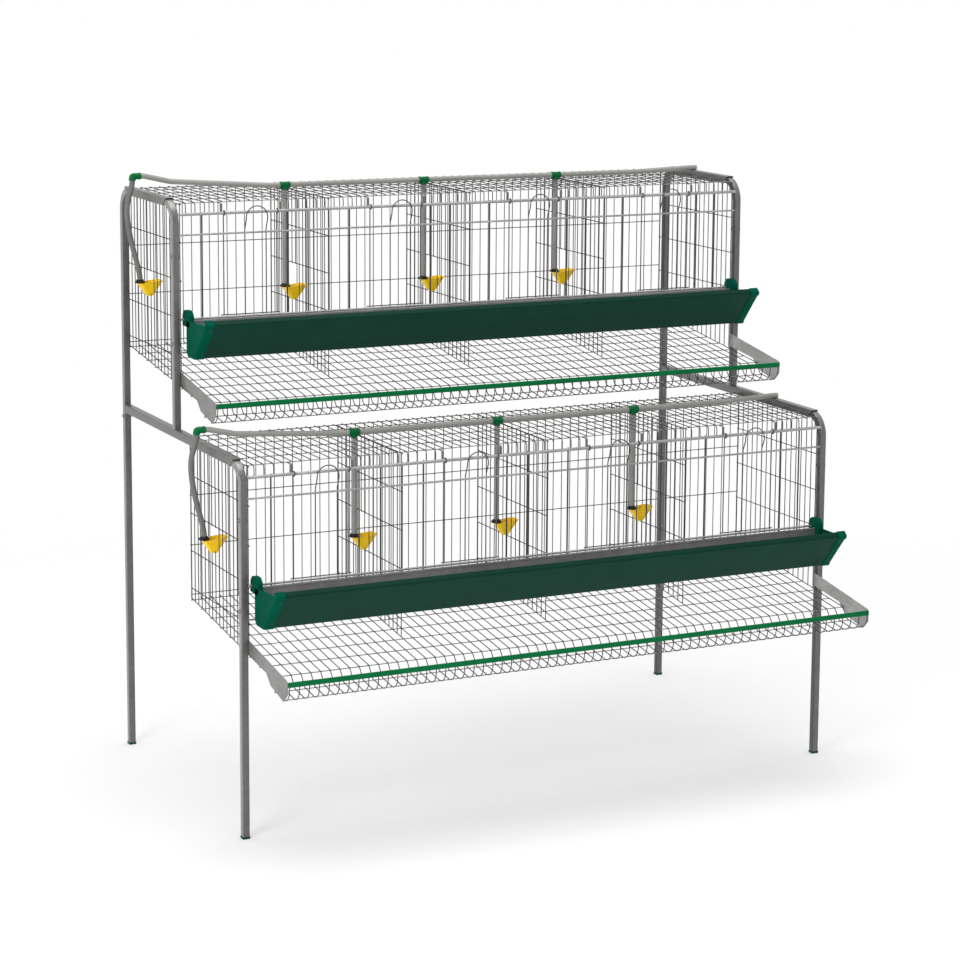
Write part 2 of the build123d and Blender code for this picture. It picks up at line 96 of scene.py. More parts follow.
def offsetPath(path, distance):
    # each point moved square to the line, stretched at a corner so that the gap stays even
    steps = np.diff(path, axis=0)
    steps /= np.linalg.norm(steps, axis=1, keepdims=True)
    normal = np.stack([-steps[:, 1], steps[:, 0]], 1)
    before = np.concatenate([normal[:1], normal])
    after = np.concatenate([normal, normal[-1:]])
    mean = before + after
    return path + mean * distance / (1 + (before * after).sum(1, keepdims=True))


def closedOffset(loop, distance):
    # offsetPath on a closed line, with its neighbours borrowed at both ends
    return offsetPath(np.concatenate([loop[-1:], loop, loop[:1]]), distance)[1:-1]


def atWidth(path, x):
    # a side-view line of y and z, given its x
    return np.column_stack([np.broadcast_to(x, len(path)), path])


def atDepth(path, y):
    # a front-view line of x and z, given its y
    return np.column_stack([path[:, 0], np.broadcast_to(y, len(path)), path[:, 1]])


def ringSurface(rings, slot=0):
    # rings has the shape (tubes, rings, points, 3); quads join each ring to the next, and ends are closed
    tubes, count, sides = rings.shape[:3]
    index = np.arange(tubes * count * sides).reshape(tubes, count, sides)
    near, far = index[:, :-1], index[:, 1:]
    quads = np.stack([near, np.roll(near, -1, 2), np.roll(far, -1, 2), far], -1)
    ends = np.full(tubes, np.max(slot))
    slots = [np.broadcast_to(slot, quads.shape[:3]).ravel(), ends, ends]
    return rings.reshape(-1, 3), [quads.reshape(-1, 4), index[:, 0, ::-1], index[:, -1]], slots


def ringStack(rings, slot=0):
    # one closed shape from a list of rings
    return ringSurface(np.array(rings)[None], slot)


def sweep(paths, profile, across, slot=0):
    # path point plus the profile on two axes square to the path's direction
    paths = np.asarray(paths, float)
    paths = paths[None] if paths.ndim == 2 else paths
    across = np.asarray(across, float)
    steps = np.diff(paths, axis=1)
    steps /= np.linalg.norm(steps, axis=2, keepdims=True)
    before = np.concatenate([steps[:, :1], steps], 1)
    after = np.concatenate([steps, steps[:, -1:]], 1)
    along = before + after
    along /= np.linalg.norm(along, axis=2, keepdims=True)
    first = across - (along @ across)[..., None] * along
    first /= np.linalg.norm(first, axis=2, keepdims=True)
    second = np.cross(along, first) / (along * after).sum(2, keepdims=True)
    rings = paths[:, :, None] + profile[:, :1] * first[:, :, None] + profile[:, 1:] * second[:, :, None]
    return ringSurface(rings, slot)


def sideSweep(path, xs, profile, slot=0):
    # one path in the side view, repeated at every x
    return sweep([atWidth(path, x) for x in np.atleast_1d(xs)], profile, (1, 0, 0), slot)


def crossSweep(x0, x1, yz, profile, slot=0):
    # straight runs from x0 to x1, one at each y and z
    yz = np.atleast_2d(np.asarray(yz, float))
    return sweep(np.stack([atWidth(yz, x0), atWidth(yz, x1)], 1), profile, (0, 1, 0), slot)


def uprightSweep(xy, low, high, profile):
    # straight runs upwards, one at each x and y
    xy = np.atleast_2d(np.asarray(xy, float))
    ends = [np.column_stack([xy, np.broadcast_to(z, len(xy))]) for z in (low, high)]
    return sweep(np.stack(ends, 1), profile, (1, 0, 0))


def turned(profile, places, axis, sides, slot=0):
    # radius and height pairs turned about an axis through each place
    profile = np.asarray(profile, float)
    places = np.atleast_2d(np.asarray(places, float))
    axis = np.asarray(axis, float)
    first = np.array([0.0, 0.0, 1.0]) if abs(axis[2]) < 0.5 else np.array([1.0, 0.0, 0.0])
    second = np.cross(axis, first)
    ring = roundProfile(2, sides)
    circle = ring[:, :1] * first + ring[:, 1:] * second
    rings = profile[:, 1, None, None] * axis + profile[:, 0, None, None] * circle
    return ringSurface(places[:, None, None] + rings, slot)


def weldSpots(places, size, slot=1):
    # an eight-sided blob at each place: plus and minus the size on each axis
    places = np.asarray(places, float).reshape(-1, 3)
    tips = np.concatenate([np.eye(3), -np.eye(3)]) * size
    corners = np.array([[0, 1, 2], [1, 3, 2], [3, 4, 2], [4, 0, 2],
                        [1, 0, 5], [3, 1, 5], [4, 3, 5], [0, 4, 5]])
    faces = (np.arange(len(places))[:, None, None] * len(tips) + corners).reshape(-1, 3)
    return (places[:, None] + tips).reshape(-1, 3), [faces], [np.full(len(faces), slot)]


def crossings(xs, ys, zs):
    # every first value with every pair of the others
    grid = np.empty((len(xs), len(zs), 3))
    grid[..., 0], grid[..., 1], grid[..., 2] = np.asarray(xs)[:, None], ys, zs
    return grid


def plateSurface(loop, levels, slot=0):
    # the side-view loop at each x of the levels, drawn in by the level's inset
    return ringStack([atWidth(closedOffset(loop, inset), x) for x, inset in levels], slot)


def mirrored(surface):
    # the other end of the cage: x turned round, and each face's corners in reverse
    points, faces, slots = surface
    return points * (-1, 1, 1), [f[:, ::-1] for f in faces], slots


def pieceName(node):
    # the node's words run together, with a capital on each after the first
    first, *rest = node.split("_")
    return first + "".join(word.title() for word in rest)


def addPiece(node, surfaces, finishes, body="cage", edge="sheet"):
    # surfaces joined into one mesh, in metres, that stands for one node; its first word may name a tier
    points, loops, counts, slots, base = [], [], [], [], 0
    for verts, faces, faceSlots in surfaces:
        points.append(verts)
        for block, used in zip(faces, faceSlots):
            loops.append((block + base).ravel())
            counts.append(np.full(len(block), block.shape[1]))
            slots.append(used)
        base += len(verts)
    points = np.concatenate(points) / metre + cageOrigin + tiers.get(node.split("_")[0], 0)
    loops, counts = np.concatenate(loops), np.concatenate(counts)
    mesh = bpy.data.meshes.new(pieceName(node))
    mesh.vertices.add(len(points))
    mesh.vertices.foreach_set("co", points.astype(np.float32).ravel())
    mesh.loops.add(len(loops))
    mesh.loops.foreach_set("vertex_index", loops.astype(np.int32))
    mesh.polygons.add(len(counts))
    mesh.polygons.foreach_set("loop_start", (np.cumsum(counts) - counts).astype(np.int32))
    for finish in finishes:
        mesh.materials.append(bpy.data.materials[finish])
    mesh.polygons.foreach_set("material_index", np.concatenate(slots).astype(np.int32))
    mesh.polygons.foreach_set("use_smooth", np.ones(len(counts), bool))
    mesh.update(calc_edges=True)
    mesh.validate()
    mesh.set_sharp_from_angle(angle=math.radians(edgeAngles[edge]))
    normals = np.empty(len(mesh.polygons) * 3, np.float32)
    mesh.polygons.foreach_get("normal", normals)
    # the facing share drives painted shade on the faces that look to the front
    toFront = mesh.attributes.new("toFront", "FLOAT", "FACE")  # how squarely each face looks to the front
    toFront.data.foreach_set("value", np.clip(-normals[1::3], 0, 1))
    piece = bpy.data.objects.new(pieceName(node), mesh)
    bpy.context.scene.collection.objects.link(piece)
    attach(piece, body)
    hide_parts(node)


# Finishes: nodes first, where a value is a number or the output that feeds the input
def feed(tree, socket, value):
    if isinstance(value, bpy.types.NodeSocket):
        tree.links.new(value, socket)
    else:
        socket.default_value = value


def setNode(tree, node, **values):
    # each name is a property of the node, or else an input with its spaces as underscores
    for key, value in values.items():
        if hasattr(node, key):
            setattr(node, key, value)
        else:
            feed(tree, node.inputs[key.replace("_", " ")], value)
    return node


def addNode(tree, kind, **values):
    return setNode(tree, tree.nodes.new("ShaderNode" + kind), **values)


def fillNode(tree, node, *values):
    # inputs taken in their order
    for socket, value in zip(node.inputs, values):
        feed(tree, socket, value)
    return node.outputs[0]


def addMath(tree, operation, *values, kind="Math"):
    return fillNode(tree, addNode(tree, kind, operation=operation), *values)


def addNoise(tree, place, size, **values):
    return addNode(tree, "TexNoise", Vector=place, Scale=size, **values).outputs["Fac"]


def newGroup(name, inputs, outputs):
    # inputs are given with their usual values, and every output is a number
    tree = bpy.data.node_groups.new(name, "ShaderNodeTree")
    for label, value in inputs.items():
        kind = "NodeSocketVector" if isinstance(value, tuple) else "NodeSocketFloat"
        tree.interface.new_socket(label, in_out="INPUT", socket_type=kind).default_value = value
    for label in outputs:
        tree.interface.new_socket(label, in_out="OUTPUT", socket_type="NodeSocketFloat")
    return tree, tree.nodes.new("NodeGroupInput").outputs, tree.nodes.new("NodeGroupOutput").inputs


alongX, alongY, alongZ = (0.06, 1.0, 1.0), (1.0, 0.06, 1.0), (1.0, 1.0, 0.06)  # the way that streaks run
evenly = (1.0, 1.0, 1.0)
zincLook = {
    "cloud": 9.0, "cloudShare": 0.55, "spangle": 160.0, "spangleShare": 0.16, "streak": 140.0,
    "streakShare": 0.4, "roughSpan": 0.35, "roughLow": 0.18, "toneEnds": (0.3, 0.75),
    "bump": 0.12, "depth": 0.0005,
}
mouldedLook = {
    "grain": 900.0, "blotch": 14.0, "scratch": 70.0, "scuff": (0.58, 0.72), "scuffRough": 0.12,
    "toneEnds": (0.3, 0.7), "shine": 0.15, "spread": 0.12, "bump": 0.06, "depth": 0.0003,
}


def zincGroup():
    # tone is a weighted sum of broad clouds, fine spangle and streaks drawn along one axis
    z = zincLook
    tree, given, end = newGroup(
        "zincFinish", {"Cloud Size": z["cloud"], "Spangle Size": z["spangle"], "Stretch": alongZ},
        ("Tone", "Rough", "Height"))
    place = addNode(tree, "TexCoord").outputs["Object"]
    cloud = addNoise(tree, place, given["Cloud Size"], Detail=4.0, Roughness=0.6)
    spangle = addNode(tree, "TexVoronoi", feature="F1", Vector=place, Scale=given["Spangle Size"])
    grey = fillNode(tree, addNode(tree, "SeparateColor"), spangle.outputs["Color"])
    drawn = addMath(tree, "MULTIPLY", place, given["Stretch"], kind="VectorMath")
    streak = addNoise(tree, drawn, z["streak"], Detail=3.0, Roughness=0.65)
    tone = addMath(tree, "MULTIPLY", streak, z["streakShare"])
    tone = addMath(tree, "MULTIPLY_ADD", grey, z["spangleShare"], tone)
    tone = addMath(tree, "MULTIPLY_ADD", cloud, z["cloudShare"], tone)
    feed(tree, end["Tone"], tone)
    feed(tree, end["Rough"], addMath(tree, "MULTIPLY_ADD", tone, z["roughSpan"], z["roughLow"]))
    feed(tree, end["Height"], streak)
    return tree


def mouldedGroup():
    # slow changes of tone, scuffs where a bent noise is high, and a fine grain as height
    m = mouldedLook
    tree, given, end = newGroup(
        "mouldedFinish", {"Grain": m["grain"], "Blotch": m["blotch"]}, ("Tone", "Scuff", "Height"))
    place = addNode(tree, "TexCoord").outputs["Object"]
    scratch = addNoise(tree, place, m["scratch"], Detail=6.0, Roughness=0.75, Distortion=1.5)
    low, high = m["scuff"]
    scuff = addNode(tree, "MapRange", Value=scratch, From_Min=low, From_Max=high)
    feed(tree, end["Tone"], addNoise(tree, place, given["Blotch"], Detail=5.0, Roughness=0.6))
    feed(tree, end["Scuff"], scuff.outputs["Result"])
    feed(tree, end["Height"], addNoise(tree, place, given["Grain"], Detail=2.0))
    return tree


zincFinish = zincGroup()
mouldedFinish = mouldedGroup()


def newMaterial(name):
    material = bpy.data.materials.new(name)
    material.use_nodes = True
    return material.node_tree, material.node_tree.nodes["Principled BSDF"]


def toneRamp(tree, tone, ends, colours):
    # the first colour up to the first end, the last from the last end on, blended between
    ramp = addNode(tree, "ValToRGB", Fac=tone)
    for stop, place, colour in zip(ramp.color_ramp.elements, ends, colours):
        stop.position = place
        stop.color = (*colour, 1)
    return ramp.outputs["Color"]


def bumped(tree, height, strength, depth):
    return addNode(tree, "Bump", Height=height, Strength=strength, Distance=depth).outputs["Normal"]


def paintFrontShade(tree, colour, amount):
    # painted shade: colour times one, less the amount as far as a face looks to the front
    facing = addNode(tree, "Attribute", attribute_name="toFront").outputs["Fac"]
    share = addNode(tree, "MapRange", Value=facing, To_Min=1.0, To_Max=1.0 - amount)
    scaled = addNode(tree, "VectorMath", operation="SCALE", Vector=colour, Scale=share.outputs["Result"])
    return scaled.outputs[0]


def metalMaterial(name, dark, light, metallic, stretch, dim=0.0, **changes):
    z = {**zincLook, **changes}
    tree, shader = newMaterial(name)
    zinc = addNode(tree, "Group", node_tree=zincFinish, Cloud_Size=z["cloud"], Spangle_Size=z["spangle"],
                   Stretch=stretch).outputs
    colour = toneRamp(tree, zinc["Tone"], z["toneEnds"], (dark, light))
    setNode(tree, shader, Base_Color=paintFrontShade(tree, colour, dim) if dim else colour, Metallic=metallic,
            Roughness=zinc["Rough"], Normal=bumped(tree, zinc["Height"], z["bump"], z["depth"]))


def mouldedMaterial(name, colour, roughness, **changes):
    m = {**mouldedLook, **changes}
    tree, shader = newMaterial(name)
    moulded = addNode(tree, "Group", node_tree=mouldedFinish, Grain=m["grain"]).outputs
    ends = [[min(1, c * (1 + way * m["spread"])) for c in colour] for way in (-1, 1)]
    setNode(tree, shader, Base_Color=toneRamp(tree, moulded["Tone"], m["toneEnds"], ends),
            Roughness=addMath(tree, "MULTIPLY_ADD", moulded["Scuff"], m["scuffRough"], roughness),
            Specular_IOR_Level=m["shine"], Normal=bumped(tree, moulded["Height"], m["bump"], m["depth"]))


meshGrain, barGrain = {"cloud": 60.0, "spangle": 300.0}, {"cloud": 45.0, "spangle": 300.0}
sheetGrain = {"cloud": 14.0, "spangle": 120.0, "bump": 0.05}
broadGrain = {"cloud": 2.0, "spangle": 60.0, "bump": 0.02}
paintGrain = {"shine": 0.05, "spread": 0.08, "grain": 500.0, "bump": 0.04}
metalFinishes = {  # dark and light tone, metallic share, the way of the streaks, what differs from zincLook
    # tubeZinc paints shade on the faces that look to the front
    "tubeZinc": ((0.20, 0.197, 0.193), (0.33, 0.327, 0.321), 0.5, alongZ, {"dim": 0.5}),
    # a dark zinc: painted shade on the tubes' faces towards the cage, and the caps' screw heads
    "shadeAndScrewZinc": ((0.045, 0.045, 0.044), (0.11, 0.109, 0.107), 0.4, alongZ, {}),
    "railZinc": ((0.10, 0.099, 0.097), (0.19, 0.188, 0.185), 0.5, alongY, {}),
    "meshZinc": ((0.004, 0.004, 0.004), (0.06, 0.059, 0.057), 0.35, evenly, meshGrain),
    "crossZinc": ((0.10, 0.10, 0.10), (0.34, 0.338, 0.335), 0.4, alongX, meshGrain),
    "backZinc": ((0.04, 0.04, 0.04), (0.20, 0.198, 0.195), 0.4, evenly, meshGrain),
    "barZinc": ((0.003, 0.003, 0.003), (0.05, 0.05, 0.049), 0.3, alongZ, barGrain),
    "doorZinc": ((0.015, 0.015, 0.015), (0.13, 0.129, 0.127), 0.4, alongZ, barGrain),
    "weldDark": ((0.003, 0.003, 0.003), (0.015, 0.015, 0.015), 0.2, evenly, {"cloud": 80.0, "spangle": 400.0}),
    "rodZinc": ((0.22, 0.22, 0.218), (0.42, 0.42, 0.415), 0.5, alongX, {"cloud": 20.0}),
    "sheetZinc": ((0.28, 0.274, 0.265), (0.50, 0.49, 0.48), 0.4, alongX, sheetGrain),
    # a darker copy of the plate zinc, painted shade on the left tray plate
    "shadedPlateZinc": ((0.12, 0.117, 0.112), (0.30, 0.293, 0.285), 0.4, alongX, sheetGrain),
    "troughZinc": ((0.20, 0.20, 0.20), (0.34, 0.34, 0.345), 0.6, alongX, broadGrain),
    "boltZinc": ((0.10, 0.10, 0.10), (0.24, 0.24, 0.24), 0.6, evenly, {"cloud": 30.0}),
}
mouldedFinishes = {  # colour, roughness, what differs from mouldedLook
    "troughGreen": ((0.006, 0.046, 0.03), 0.45, paintGrain),
    # a darker copy of troughGreen, painted shade on the trough's lip
    "lipShadeGreen": ((0.003, 0.032, 0.02), 0.45, paintGrain),
    "capGreen": ((0.0002, 0.08, 0.046), 0.45, {"shine": 0.01}),
    "stripGreen": ((0.0002, 0.14, 0.04), 0.35, {"shine": 0.08}),
    "fittingGreen": ((0.0005, 0.13, 0.035), 0.35, {"shine": 0.1}),
    "pipeGrey": ((0.31, 0.30, 0.285), 0.42, {"shine": 0.3, "spread": 0.1}),
    "hoseGrey": ((0.17, 0.163, 0.155), 0.45, {"shine": 0.2, "spread": 0.1}),
    "cupYellow": ((0.95, 0.60, 0.006), 0.3, {"shine": 0.2, "spread": 0.06}),
    "valveBlack": ((0.010, 0.010, 0.010), 0.4, {"shine": 0.2}),
    "footGreen": ((0.003, 0.06, 0.03), 0.5, {}),
}
for name, (*look, changes) in metalFinishes.items():
    metalMaterial(name, *look, **changes)
for name, (*look, changes) in mouldedFinishes.items():
    mouldedMaterial(name, *look, **changes)
print("materials made")

# Frame: square tube legs plugged into slightly larger rails
frameSizes = {
    "tube": 18.0, "corner": 2.5, "cornerSteps": 5, "tubeX": 814.0, "legY": 9.0, "rearY": 865.0,
    "bend": 55.0, "bendSteps": 18, "tip": 87.0, "shadeFrom": 0.3,
    "rail": 21.2, "railBore": 18.3, "boreCorner": 1.2, "railZ": 921.0, "railTop": 931.5,
    "railFrom": 66.0, "railTo": 856.0, "topFrom": 528.0, "topTo": 808.0, "mouth": 22.0, "plug": 38.0,
    "foot": 6.0, "footWide": 20.0, "footCorner": 2.5, "footEdge": 0.8,
}


def squareProfile(size, corner):
    return boxProfile(size, size, corner, frameSizes["cornerSteps"])


def bentTube(x, y, low, high, way):
    # a square carried up, round a quarter circle and on to the tip; the face towards the cage gets a darker
    # zinc as painted shade
    f = frameSizes
    section = squareProfile(f["tube"], f["corner"])
    edge = np.roll(section, -1, 0) - section
    facing = edge[:, 1] / np.linalg.norm(edge, axis=1)
    shade = np.where(facing * x < -f["shadeFrom"] * abs(x), 1, 0)
    centre = (y + way * f["bend"], high - f["bend"])
    arc = arcPath(centre, f["bend"], 180 if way > 0 else 0, 90, f["bendSteps"])
    line = np.concatenate([[(y, low)], arc, [(y + way * f["tip"], high)]])
    return sideSweep(line, x, section, shade)


def railMouth(x, y, z, way):
    # bore and outside of an open end; a point reaches out by its height, so the top is furthest
    f = frameSizes
    bore, outside = (f["railBore"], f["boreCorner"]), (f["rail"], f["corner"])
    rings = []
    for sizes, deep in ((bore, f["plug"]), (bore, 0.0), (outside, 0.0)):
        flat = squareProfile(*sizes)
        slant = f["mouth"] * (flat[:, 1] / f["rail"] + 0.5) if deep == 0.0 else 0.0
        rings.append(atDepth(flat + (x, z), y + way * (deep - slant)))
    return rings


def frameRails(x, topZ):
    # the cross rail has a mouth in front and a flat end behind, the top rail a mouth at both ends
    f = frameSizes
    flat = squareProfile(f["rail"], f["corner"])
    cross = railMouth(x, f["railFrom"], f["railZ"], 1) + [atDepth(flat + (x, f["railZ"]), f["railTo"])]
    top = railMouth(x, f["topFrom"], topZ, 1) + railMouth(x, f["topTo"], topZ, -1)[::-1]
    return {"cross_rail": ringStack(cross[::-1]), "top_rail": ringStack(top[::-1])}


def footPlugs():
    # a rounded square at four heights, drawn in at the bottom and the top
    f = frameSizes
    edge, high = f["footEdge"], f["foot"]
    plugs = []
    for x in (-f["tubeX"], f["tubeX"]):
        for y in (f["legY"], f["rearY"]):
            rings = []
            for inset, z in ((edge, 0.0), (0, edge), (0, high - edge), (edge, high)):
                wide = f["footWide"] - 2 * inset
                ring = boxProfile(wide, wide, f["footCorner"]) + (x, y)
                rings.append(np.column_stack([ring, np.full(len(ring), z)]))
            plugs.append(ringStack(rings))
    return plugs


boltSizes = {
    "head": 11.0, "rise": 4.0, "skirt": 0.6, "domeTo": 84, "sides": 20, "nut": 10.0, "nutThick": 3.0,
    "nutEdge": 0.4, "nutDrawn": 0.86, "frontZ": (789.0, 567.0), "rearZ": 900.0,
}


def frameBolts():
    # domed heads outside, a part of an ellipse turned, and six-sided nuts with drawn-in edges inside
    b, f = boltSizes, frameSizes
    outer, inner = f["tubeX"] + f["tube"] / 2, f["tubeX"] - f["tube"] / 2
    front = np.array([(f["legY"], z) for z in b["frontZ"]])
    yz = np.concatenate([front, front + tierRise, [(f["rearY"], b["rearZ"])]])
    radius, thick, edge = b["head"] / 2, b["nutThick"], b["nutEdge"]
    angle = np.radians(np.linspace(0, b["domeTo"], num=7))
    dome = np.stack([radius * np.cos(angle), b["skirt"] + (b["rise"] - b["skirt"]) * np.sin(angle)], 1)
    dome = np.concatenate([[(radius, 0.0)], dome])
    hexagon = np.array([(b["nutDrawn"], 0.0), (1.0, edge), (1.0, thick - edge), (b["nutDrawn"], thick)])
    hexagon[:, 0] *= b["nut"] / math.sqrt(3)
    bolts = []
    for way in (-1, 1):
        bolts.append(turned(dome, atWidth(yz, way * outer), (way, 0, 0), b["sides"]))
        bolts.append(turned(hexagon, atWidth(yz, way * inner), (-way, 0, 0), 6))
    return bolts


def buildFrame():
    f = frameSizes
    topZ = f["railZ"] + tierRise[1]
    bends = {  # y, low and high end, and the way that the top bends
        "front_leg": (f["legY"], f["foot"], f["railZ"], 1),
        "upper_upright": (f["legY"] + tierRise[0], f["railTop"], topZ, 1),
        "rear_post": (f["rearY"], f["foot"], topZ, -1),
    }
    for side, x in (("left", -f["tubeX"]), ("right", f["tubeX"])):
        for node, bend in bends.items():
            addPiece(f"{side}_{node}", [bentTube(x, *bend)], ["tubeZinc", "shadeAndScrewZinc"])
        for node, rail in frameRails(x, topZ).items():
            addPiece(f"{side}_{node}", [rail], ["railZinc"])
    addPiece("foot_plugs", footPlugs(), ["footGreen"])
    addPiece("frame_bolts", frameBolts(), ["boltZinc"])


buildFrame()
print("frame built")

# Mesh panels: round wires welded where they cross
meshSizes = {
    "wire": 2.5, "sides": 8, "weld": (2.3, 2.3, 1.7), "pitch": 25.0, "half": 800.0,
    "planes": (-800.0, -400.0, 0.0, 400.0, 800.0),
    "topZ": 922.0, "topCross": (18.0, 103.0, 188.0, 273.0, 358.0), "topReach": 803.4,
    "lipY": 2.0, "lipBend": 10.0, "lipEnd": 897.0, "zone": (106.3, 265.1),
    "sideFirst": 11.25, "sideCount": 17, "rungs": (530.5, 627.5, 724.5, 821.5, 917.0),
    "cupWires": (236.25, 261.25), "cupSeat": 628.75, "endSeat": 663.4, "cupOver": 723.25,
    "backY": 412.5, "backGap": 0.2, "backRungs": (514.0, 642.0, 770.0, 919.5), "skirt": 8.0,
    "floorZ": 455.0, "slope": 7.0, "kinkY": -135.0, "kinkRound": 8.0, "step": (-158.0, 411.0),
    "curlY": -218.0, "curlR": 32.0, "curlTop": 444.0,
    "floorFirst": -131.3, "floorStep": 67.0, "floorRows": 9, "gutterRows": (-161.8, -212.9),
    "floorReach": 803.5,
}
thin = roundProfile(meshSizes["wire"], meshSizes["sides"])
spot = np.array(meshSizes["weld"])
wireXs = np.arange(-meshSizes["half"], meshSizes["half"] + meshSizes["pitch"] / 2, meshSizes["pitch"])


def floorLine(y):
    # height at y 0 plus y times the slope's tangent
    return meshSizes["floorZ"] + math.tan(math.radians(meshSizes["slope"])) * np.asarray(y)


def topPanel():
    # wires from the back to a quarter circle and a lip, or cut short above a door, over cross wires
    m = meshSizes
    half = m["wire"] / 2
    xs = np.arange(-m["half"] + m["pitch"] / 2, m["half"], m["pitch"])
    place = (xs + m["half"]) % (m["planes"][1] - m["planes"][0])
    cut = (place > m["zone"][0] - half) & (place < m["zone"][1] + half)
    back = m["backY"] + 2 * m["wire"]
    bend = arcPath((m["lipY"] + m["lipBend"], m["topZ"] - m["lipBend"]), m["lipBend"], 90, 180, count=7)
    lipped = np.concatenate([[(back, m["topZ"])], bend, [(m["lipY"], m["lipEnd"])]])
    straight = np.array([(back, m["topZ"]), (m["topCross"][0] - half, m["topZ"])])
    lower = m["topZ"] - m["wire"]
    crossYz = [(y, lower) for y in m["topCross"]]
    reach = np.array([m["half"]] + [m["topReach"]] * (len(crossYz) - 1))
    return [sideSweep(lipped, xs[~cut], thin), sideSweep(straight, xs[cut], thin),
            crossSweep(-reach, reach, crossYz, thin, 2),
            weldSpots(crossings(xs, m["topCross"], np.full(len(crossYz), lower + half)), spot)]


def floorTray():
    # wires down the slope, over a step and up a curl that is an arc of a circle, with cross wires under them
    m = meshSizes
    slope = math.radians(m["slope"])
    fall = math.tan(slope)
    start = m["curlY"] + m["curlR"] * math.sin(slope)
    bottom = m["step"][1] + fall * (start - m["step"][0])
    centre = (m["curlY"], bottom + m["curlR"] * math.cos(slope))
    curl = arcPath(centre, m["curlR"], -90 + m["slope"], -180, count=12)
    run = [(y, float(floorLine(y))) for y in (m["backY"] - m["backGap"], m["kinkY"])]
    run = roundedPath([*run, m["step"], curl[0]], m["kinkRound"], steps=5)
    line = np.concatenate([run[:-1], curl, [(m["curlY"] - m["curlR"], m["curlTop"])]])
    ys = m["floorFirst"] + m["floorStep"] * np.arange(m["floorRows"])
    low = np.array(m["gutterRows"])
    heights = np.concatenate([floorLine(ys), m["step"][1] + fall * (low - m["step"][0])])
    rows = np.stack([np.concatenate([ys, low]), heights], 1)
    drop = np.array([math.sin(slope), -math.cos(slope)]) * m["wire"]
    under, joint = rows + drop, rows + drop / 2
    return [sideSweep(line, wireXs, thin), crossSweep(-m["floorReach"], m["floorReach"], under, thin, 2),
            weldSpots(crossings(wireXs, joint[:, 0], joint[:, 1]), spot)]


def backPanel():
    # upright wires from the floor's skirt to the top, with rungs behind them
    m = meshSizes
    half = m["wire"] / 2
    y = m["backY"] + half
    xy = np.stack([wireXs, np.full(len(wireXs), y)], 1)
    rungs = [(y + m["wire"], z) for z in m["backRungs"]]
    low, edge = float(floorLine(m["backY"])) - m["skirt"], m["half"] + half
    return [uprightSweep(xy, low, m["topZ"] - half, thin), crossSweep(-edge, edge, rungs, thin),
            weldSpots(crossings(wireXs, y + half, m["backRungs"]), spot[[0, 2, 1]])]


def sidePanel(x, way, seat=None):
    # upright wires from the sloping floor to the top, some cut round a drinker, with rungs beside them
    m = meshSizes
    half = m["wire"] / 2
    ys = m["sideFirst"] + m["pitch"] * np.arange(m["sideCount"])
    cup = np.isin(ys, m["cupWires"]) & (seat is not None)
    low, high = floorLine(ys) + half, m["topZ"] - half - m["wire"]
    xy = np.stack([np.full(len(ys), x), ys], 1)
    parts = [uprightSweep(xy[~cup], low[~cup], high, thin)]
    if seat is not None:
        parts.append(uprightSweep(xy[cup], low[cup], seat, thin))
        parts.append(uprightSweep(xy[cup], m["cupOver"], high, thin))
    starts = np.array([(x + way * m["wire"], ys[0] - half, z) for z in m["rungs"]])
    ends = starts + (0, ys[-1] - ys[0] + 2 * half, 0)
    parts.append(sweep(np.stack([starts, ends], 1), thin, (1, 0, 0)))
    welds = crossings(ys, x + way * half, m["rungs"])[..., [1, 0, 2]]
    return parts + [weldSpots(welds, spot[[2, 0, 1]])]


planes = meshSizes["planes"]
panels = {
    "top_panel": topPanel(), "floor_tray": floorTray(), "back_panel": backPanel(),
    "left_end_panel": sidePanel(planes[0], 1, meshSizes["endSeat"]),
    "right_end_panel": sidePanel(planes[-1], -1),
    "partitions": [part for x in planes[1:-1] for part in sidePanel(x, 1, meshSizes["cupSeat"])],
}
for tier in tiers:
    for node, surfaces in panels.items():
        zinc = "backZinc" if node == "back_panel" else "meshZinc"
        addPiece(f"{tier}_{node}", surfaces, [zinc, "weldDark", "crossZinc"], edge="wire")
print("mesh panels built")

# Front: heavy rods, fixed bars, clips and hanging doors
frontSizes = {
    "reach": 805.0, "rods": ((8.0, 893.0), (5.0, 841.0), (6.0, 629.0), (5.0, 545.0)), "rodSides": 20,
    "barFace": 6.0, "bar": 4.0, "barSides": 12, "barPitch": 400 / 7, "fixed": (1, 5, 6), "barLow": 542.5,
    "barHigh": 897.0, "weld": (2.6, 1.6, 2.6), "clip": (7.0, 1.5), "clipCorner": 0.4, "clipBend": 5.0,
    "clipAt": (106.29, 265.14), "clipLow": 897.0, "clipTop": 918.25, "clipBack": 20.25,
}


def frontRods():
    # a straight round run for each rod, its back against the bars' face
    f = frontSizes
    return [crossSweep(-f["reach"], f["reach"], [(f["barFace"] - d / 2, z)], roundProfile(d, f["rodSides"]))
            for d, z in f["rods"]]


def frontBars():
    # upright round runs at the fixed places of each compartment and at each partition
    f = frontSizes
    xs = np.array([x + k * f["barPitch"] for x in planes[:-1] for k in f["fixed"]] + list(planes[1:-1]))
    xy = np.stack([xs, np.full(len(xs), f["barFace"] + f["bar"] / 2)], 1)
    rodZs = [z for _, z in f["rods"]]
    return [uprightSweep(xy, f["barLow"], f["barHigh"], roundProfile(f["bar"], f["barSides"])),
            weldSpots(crossings(xs, f["barFace"], rodZs), f["weld"])]


def topClips():
    # a flat strip carried up from the rod and bent back over the first cross wire
    f = frontSizes
    width, thick = f["clip"]
    lip = meshSizes["lipY"]
    z = f["clipTop"] - thick / 2
    line = roundedPath([(lip, f["clipLow"]), (lip, z), (f["clipBack"], z)], f["clipBend"])
    xs = [x + edge for x in planes[:-1] for edge in f["clipAt"]]
    return [sideSweep(line, xs, boxProfile(width, thick, f["clipCorner"], steps=3))]


